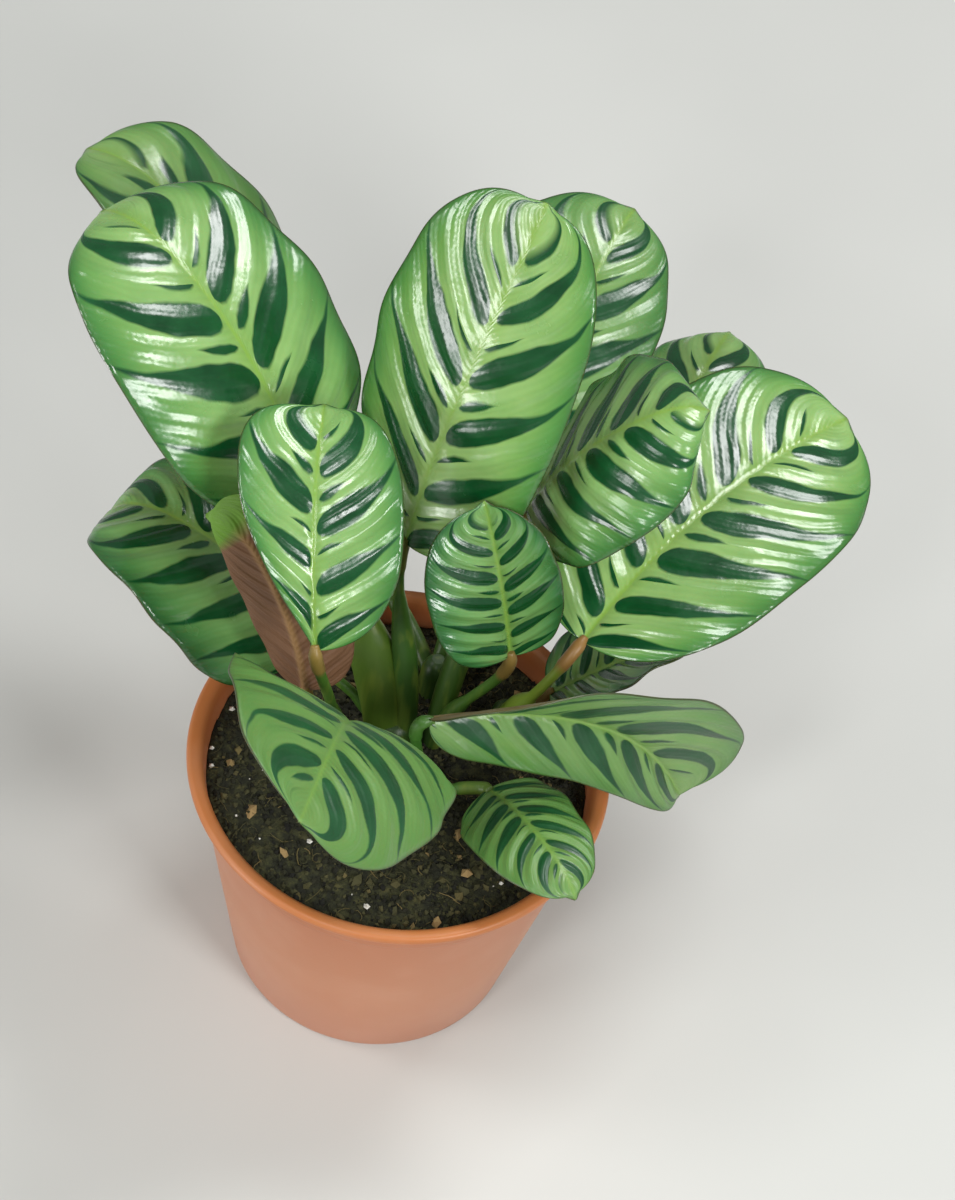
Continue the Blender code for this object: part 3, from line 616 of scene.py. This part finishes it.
def stem_piece(name, shoot):
    """A shoot: its sheathed crown and its stalks, in one mesh with values along each stalk."""
    points, faces, marks = [], [], {"up_the_stalk": [], "yellow": [], "brown": []}

    def take(part, values, yellow, brown):
        start = len(points)
        points.extend(part[0])
        faces.extend([tuple(start + v for v in face) for face in part[1]])
        marks["up_the_stalk"].extend(values)
        marks["yellow"].extend([yellow] * len(part[0]))
        marks["brown"].extend([brown] * len(part[0]))

    x, y = shoot.crown[0] * MM, shoot.crown[1] * MM
    top = SOIL_TOP + shoot.height * MM
    heights = [SOIL_TOP - CROWN_DEPTH + (top - SOIL_TOP + CROWN_DEPTH) * k / (CROWN_RINGS - 1)
               for k in range(CROWN_RINGS)]
    radii = []
    for h in heights:
        share = max(0.0, (h - SOIL_TOP) / (top - SOIL_TOP))
        radii.append(shoot.radius * MM * (1 - 0.2 * share - 0.45 * max(0, share - 0.8) / 0.2))
    part = tube_parts([Vector((x, y, h)) for h in heights], radii, CROWN_SIDES)
    # the crown takes the darkest stalk colours, painted shade under the leaves
    take(part, [0.2 * v for v in part[2]], 0.1, 0.0)
    for leaf_name, stalk in shoot.leaves.items():
        line = stalk_line(shoot, LEAVES[leaf_name], stalk, STALK_RINGS)
        radii, total = stalk_radii(line, stalk)
        part = tube_parts(line, radii, STALK_SIDES, stalk.depth)
        joint = 1 - PULVINUS_LENGTH / total
        values = [0.2 + 0.6 * v / joint if v < joint else 0.8 + 0.2 * (v - joint) / (1 - joint)
                  for v in part[2]]
        take(part, values, *STALK_TONES.get(leaf_name, PLAIN_STALK))
    mesh = bpy.data.meshes.new(name + "_look")
    mesh.from_pydata([tuple(p) for p in points], [], faces)
    for mark, values in marks.items():
        note(mesh, mark, values)
    mesh.polygons.foreach_set("use_smooth", [len(f) == 4 for f in faces])
    piece = bpy.data.objects.new(name + "_look", mesh)
    bpy.context.collection.objects.link(piece)
    mesh.materials.append(stalk_skin)
    return piece


# Stalk skin: satin, green with yellowish lengthways streaks, turning brown at the joint, and
# painted darker down towards the crown as shade under the leaves
stalk_skin, stalk_shader = finish_material("streaked leaf stalk skin")
place = add(stalk_skin, "TexCoord", {}, "Object")
stretched = add(stalk_skin, "Mapping", {"Scale": (1.0, 1.0, 0.06), "Vector": place})
streaks = add(stalk_skin, "TexNoise", {"Scale": per(3.03), "Detail": 2.0, "Vector": stretched})
up_stalk = add(stalk_skin, "Attribute", {"attribute_name": "up_the_stalk"}, "Fac")
# darkest at the crown and the foot of each stalk: painted shade under the leaves
green = add(stalk_skin, "ValToRGB", {"Fac": up_stalk, "stops": [
    (0.0, "#16300F"), (0.2, "#143810"), (0.5, "#1D4C17"), (0.8, "#3A6C24"), (1.0, "#46702A")]})
yellowish = add(stalk_skin, "ValToRGB", {"Fac": up_stalk, "stops": [
    (0.0, "#4A6A22"), (0.3, "#7D9A30"), (1.0, "#8CA43A")]})
yellow = add(stalk_skin, "Attribute", {"attribute_name": "yellow"}, "Fac")
green = add(stalk_skin, "Mix", {"data_type": "RGBA", 0: yellow, 6: green, 7: yellowish}, 2)
pale_streaks = add(stalk_skin, "ValToRGB", {"Fac": streaks, "stops": [(0.5, 0.0), (0.72, 0.4)]})
green = add(stalk_skin, "Mix", {"data_type": "RGBA", 0: pale_streaks, 6: green, 7: "#7F8F34"}, 2)
in_joint = add(stalk_skin, "ValToRGB", {"Fac": up_stalk, "stops": [(0.775, 0.0), (0.82, 1.0)]})
brownness = add(stalk_skin, "Attribute", {"attribute_name": "brown"}, "Fac")
joint_share = add(stalk_skin, "Math", {"operation": "MULTIPLY", 0: in_joint, 1: brownness})
stalk_colour = add(stalk_skin, "Mix", {"data_type": "RGBA", 0: joint_share, 6: green, 7: "#96713C"},
                   2)
streak_bump = add(stalk_skin, "Bump", {"Strength": 0.35, "Distance": 0.4 * MM, "Height": streaks})
fill(stalk_shader, {"Base Color": stalk_colour, "Normal": streak_bump, "Roughness": 0.42})

for shoot_name, shoot_values in SHOOTS.items():
    stems = stem_piece(shoot_name, shoot_values)
    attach(stems, "root")
    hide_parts(shoot_name)


# Soil
# Damp peat mix filling the pot to 8 mm below the rim: dark crumbs with root fibres, bits of
# bark and a few white perlite grains pressed into the top.

SOIL_GAP = 0.3 * MM             # between the soil and the pot
SOIL_RADIUS = pot_inside(SOIL_TOP) - SOIL_GAP
SOIL_HUB = 0.3 * MM             # smallest ring, closed by a face
SOIL_RINGS, SOIL_SIDES = 70, 260
# Lumps of three sizes: height in mm, how many to the metre, and the layer of the noise
SOIL_LUMPS = [(1.1, 130, 0.0), (0.8, 330, 0.3), (0.45, 900, 0.7)]
WALL_SINK, LOWERED = 1.5, 0.3       # mm, at the wall and all over
rng = np.random.default_rng(7)


def soil_height(x, y):
    """Height of the soil's top, sinking a little at the wall, lumpy all over."""
    r = (x * x + y * y) ** 0.5 / SOIL_RADIUS
    bed = -WALL_SINK * max(0.0, (r - 0.8) / 0.2) ** 2
    lumps = sum(high * noise.noise(Vector((x, y, layer)) * scale)
                for high, scale, layer in SOIL_LUMPS)
    return SOIL_TOP + (bed + lumps - LOWERED) * MM


def soil_bed():
    """The body of the soil: a turned plug whose top rings are raised and lowered."""
    low = FLOOR_TOP + SOIL_GAP
    rings = [SOIL_RADIUS * (1 - k / SOIL_RINGS) for k in range(SOIL_RINGS)]
    profile = [(SOIL_HUB, low), (pot_inside(low) - SOIL_GAP, low),
               (pot_inside(COLLAR_BOTTOM) - SOIL_GAP, COLLAR_BOTTOM)]
    profile += [(r, SOIL_TOP) for r in rings if r > SOIL_HUB]
    bed = turned("soil_look", profile, SOIL_SIDES)
    mesh = bed.data
    places = np.empty(len(mesh.vertices) * 3, dtype=np.float32)
    mesh.vertices.foreach_get("co", places)
    places = places.reshape(-1, 3)
    for k in np.nonzero(places[:, 2] > SOIL_TOP - 0.1 * MM)[0]:
        places[k, 2] = soil_height(float(places[k, 0]), float(places[k, 1]))
    mesh.vertices.foreach_set("co", places.ravel())
    mesh.update()
    close_open_rings(bed)
    bpy.ops.object.shade_smooth()
    return bed


LUMP_POINTS = [(0, 0, 1), (0.94, 0, 0.1), (0.29, 0.9, 0), (-0.76, 0.55, 0.1), (-0.76, -0.55, 0),
               (0.29, -0.9, 0.1), (0, 0, -1)]
LUMP_FACES = [(0, k, k % 5 + 1) for k in range(1, 6)] + [(6, k % 5 + 1, k) for k in range(1, 6)]


def scatter(name, count, sizes, stretch, material, inner=0.0, tones=(0.0, 1.0), sink=0.2):
    """Many small angular lumps pressed into the soil's top, in one mesh."""
    points, faces, tone = [], [], []
    for _ in range(count):
        r = SOIL_RADIUS * (inner + (0.985 - inner) * rng.random() ** 0.5)
        a = 2 * pi * rng.random()
        x, y = r * cos(a), r * sin(a)
        size = (sizes[0] + (sizes[1] - sizes[0]) * rng.random() ** 2) * MM / 2
        shape = [size * (1 + (v - 1) * rng.random()) for v in stretch]
        turn = Quaternion(Vector(rng.normal(size=3)).normalized(), 2 * pi * rng.random())
        if r + max(shape) > SOIL_RADIUS:
            continue
        centre = Vector((x, y, soil_height(x, y) + shape[2] * sink))
        start = len(points)
        for p in LUMP_POINTS:
            jitter = Vector([v * s * (0.8 + 0.4 * rng.random()) for v, s in zip(p, shape)])
            jitter.rotate(turn)
            points.append(tuple(centre + jitter))
        faces += [tuple(start + v for v in f) for f in LUMP_FACES]
        tone += [tones[0] + (tones[1] - tones[0]) * rng.random()] * len(LUMP_POINTS)
    return lump_object(name, points, faces, tone, material)


def placed(name, spots, material):
    """Larger lumps at places (x, y, size), in mm, where the picture shows them."""
    points, faces = [], []
    for x, y, size in spots:
        centre = Vector((x * MM, y * MM, soil_height(x * MM, y * MM) + 0.3 * size * MM))
        start = len(points)
        for p in LUMP_POINTS:
            points.append(tuple(centre + Vector(p) * size / 2 * MM * (0.75 + 0.4 * rng.random())))
        faces += [tuple(start + v for v in f) for f in LUMP_FACES]
    return lump_object(name, points, faces, [0.97] * len(points), material)


def lump_object(name, points, faces, tone, material):
    """One mesh object from points and faces, with a tone value on every point."""
    mesh = bpy.data.meshes.new(name)
    mesh.from_pydata(points, [], faces)
    note(mesh, "tone", tone)
    mesh.materials.append(material)
    piece = bpy.data.objects.new(name, mesh)
    bpy.context.collection.objects.link(piece)
    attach(piece, "root")
    return piece


def fibres(name, count, material):
    """Thin curled root fibres lying on the soil."""
    points, faces, tone = [], [], []
    for _ in range(count):
        r, a = SOIL_RADIUS * 0.95 * rng.random() ** 0.5, 2 * pi * rng.random()
        x, y, heading = r * cos(a), r * sin(a), 2 * pi * rng.random()
        bend, step = rng.normal() * 0.5, (0.5 + 1.0 * rng.random()) * MM
        line = []
        for k in range(6):
            line.append(Vector((x, y, soil_height(x, y) + (0.35 + 0.5 * rng.random()) * MM)))
            heading += bend
            x, y = x + step * cos(heading), y + step * sin(heading)
            if (x * x + y * y) ** 0.5 > SOIL_RADIUS - 0.6 * MM:
                break
        if len(line) < 3:
            continue
        thick = (0.06 + 0.09 * rng.random()) * MM
        part = tube_parts(line, [thick] * (len(line) - 1) + [thick * 0.4], 4)
        start = len(points)
        points += [tuple(p) for p in part[0]]
        faces += [tuple(start + v for v in f) for f in part[1]]
        tone += [0.3 + 0.6 * rng.random()] * len(part[0])
    return lump_object(name, points, faces, tone, material)


# Peat: matt, nearly black where damp, ginger and olive brown where the crumbs have dried
peat, peat_shader = finish_material("damp peat crumb")
place = add(peat, "TexCoord", {}, "Object")
clods = add(peat, "TexNoise", {"Scale": per(3.85), "Detail": 6.0, "Roughness": 0.7,
                               "Vector": place})
peat_colour = add(peat, "ValToRGB", {"Fac": clods, "stops": [
    (0.3, "#121309"), (0.47, "#222413"), (0.6, "#3A3B1F"), (0.72, "#56512C"), (0.85, "#786A3E")]})
peat_fine = add(peat, "TexNoise", {"Scale": per(0.714), "Detail": 4.0, "Vector": place})
peat_bump = add(peat, "Bump", {"Strength": 0.9, "Distance": 0.6 * MM, "Height": peat_fine})
fill(peat_shader, {"Base Color": peat_colour, "Normal": peat_bump, "Roughness": 0.92})

# Loose bits: one matt material that runs from black crumbs to tan fibre and bark by tone
bits, bits_shader = finish_material("loose peat, bark and root fibre")
tone = add(bits, "Attribute", {"attribute_name": "tone"}, "Fac")
bits_colour = add(bits, "ValToRGB", {"Fac": tone, "stops": [
    (0.0, "#0E0F08"), (0.4, "#252613"), (0.65, "#444326"), (0.85, "#6C6038"), (1.0, "#A5885A")]})
fill(bits_shader, {"Base Color": bits_colour, "Roughness": 0.9})

# Perlite: puffed volcanic glass, white and rough, painted greyer in patches as the shade in its
# fine hollows
perlite, perlite_shader = finish_material("white perlite")
perlite_place = add(perlite, "TexCoord", {}, "Object")
pit_shade = add(perlite, "TexNoise", {"Scale": per(1.11), "Vector": perlite_place})
perlite_white = add(perlite, "ValToRGB", {"Fac": pit_shade, "stops": [
    (0.3, "#BDB9AC"), (0.6, "#ECEAE2")]})
fill(perlite_shader, {"Base Color": perlite_white, "Roughness": 0.8})

soil_look = soil_bed()
soil_look.data.materials.append(peat)
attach(soil_look, "root")
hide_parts("soil")
scatter("soil_crumbs", 5200, (0.5, 2.4), (1.0, 1.5, 0.8), bits, tones=(0.0, 0.72))
scatter("bark_chips", 110, (1.4, 4.0), (1.0, 1.8, 0.5), bits, tones=(0.6, 1.0))
scatter("perlite_grains", 26, (0.5, 1.1), (1.0, 1.2, 1.0), perlite, inner=0.3, sink=0.5)
placed("perlite_showing", [(-49.6, 13.0, 2.2), (-52.9, -1.2, 1.7), (-52.0, -7.1, 1.9),
                           (-20.8, -27.6, 1.9), (18.7, -2.8, 1.8), (33.8, -30.3, 1.6),
                           (-2.0, -45.8, 2.4)], perlite)
placed("bark_showing", [(23.9, -29.7, 3.6), (43.7, -31.7, 2.6), (13.1, 30.6, 3.2),
                        (9.4, 25.0, 2.8), (20.2, 35.4, 2.6), (30.5, 34.5, 3.0)], bits)
fibres("root_fibres", 420, bits)


# Floor, lights and camera
# A pale seamless surface in an even dim room with five soft lights, seen from above at the
# steep angle of a product picture.

deselect()
bpy.ops.mesh.primitive_plane_add(size=16.0, location=(0, 0, 0))
floor = bpy.context.object
floor.name = "floor"
paper, floor_shader = finish_material("pale seamless paper")
paper_place = add(paper, "TexCoord", {}, "Object")
paper_cloud = add(paper, "TexNoise", {"Scale": per(200), "Detail": 3.0, "Vector": paper_place})
paper_grey = add(paper, "ValToRGB", {"Fac": paper_cloud, "stops": [
    (0.3, "#CCCDC9"), (0.7, "#D3D4D0")]})
fill(floor_shader, {"Base Color": paper_grey, "Roughness": 0.8})
floor.data.materials.append(paper)

bpy.context.scene.view_settings.view_transform = "Standard"
world = bpy.data.worlds.new("studio room")
bpy.context.scene.world = world
world.use_nodes = True
fill(world.node_tree.nodes["Background"], {"Color": "#E4E6E4", "Strength": 0.34})


def softbox(name, place, aim, width, height, power):
    """A rectangular studio light at a place, turned towards a point."""
    light = bpy.data.lights.new(name, "AREA")
    light.shape = "RECTANGLE"
    light.size, light.size_y, light.energy = width, height, power
    lamp = bpy.data.objects.new(name, light)
    lamp.location = place
    lamp.rotation_euler = (Vector(aim) - Vector(place)).to_track_quat("-Z", "Y").to_euler()
    bpy.context.collection.objects.link(lamp)


PLANT_MIDDLE = (0, 0.02, 0.12)
softbox("overhead softbox", (0.45, 0.55, 1.35), PLANT_MIDDLE, 0.5, 0.4, 10)
softbox("front softbox", (0.62, -0.65, 0.72), PLANT_MIDDLE, 0.3, 0.34, 6)
softbox("window behind the camera", (-0.32, -0.85, 1.12), PLANT_MIDDLE, 0.22, 0.26, 4)
softbox("low window", (-0.95, -0.62, 0.2), (0, 0.02, 0.15), 0.34, 0.3, 4)
softbox("left softbox", (-0.9, -0.1, 1.1), PLANT_MIDDLE, 0.3, 0.4, 3)

PHOTO_CAMERA = Vector((0, -0.5838, 0.9350))
CAMERA_AIM = Vector((0.0142, 0.0523, 0.100))
CAMERA_ROLL = 10.96         # degrees, so that the plant leans as it does off-centre in the picture
camera_data = bpy.data.cameras.new("camera")
camera_data.lens = 109.2
camera_data.sensor_width = 36
camera = bpy.data.objects.new("camera", camera_data)
camera.location = PHOTO_CAMERA
level = (CAMERA_AIM - PHOTO_CAMERA).to_track_quat("-Z", "Y")
camera.rotation_euler = (level @ Quaternion((0, 0, 1), radians(CAMERA_ROLL))).to_euler()
bpy.context.collection.objects.link(camera)
bpy.context.scene.camera = camera
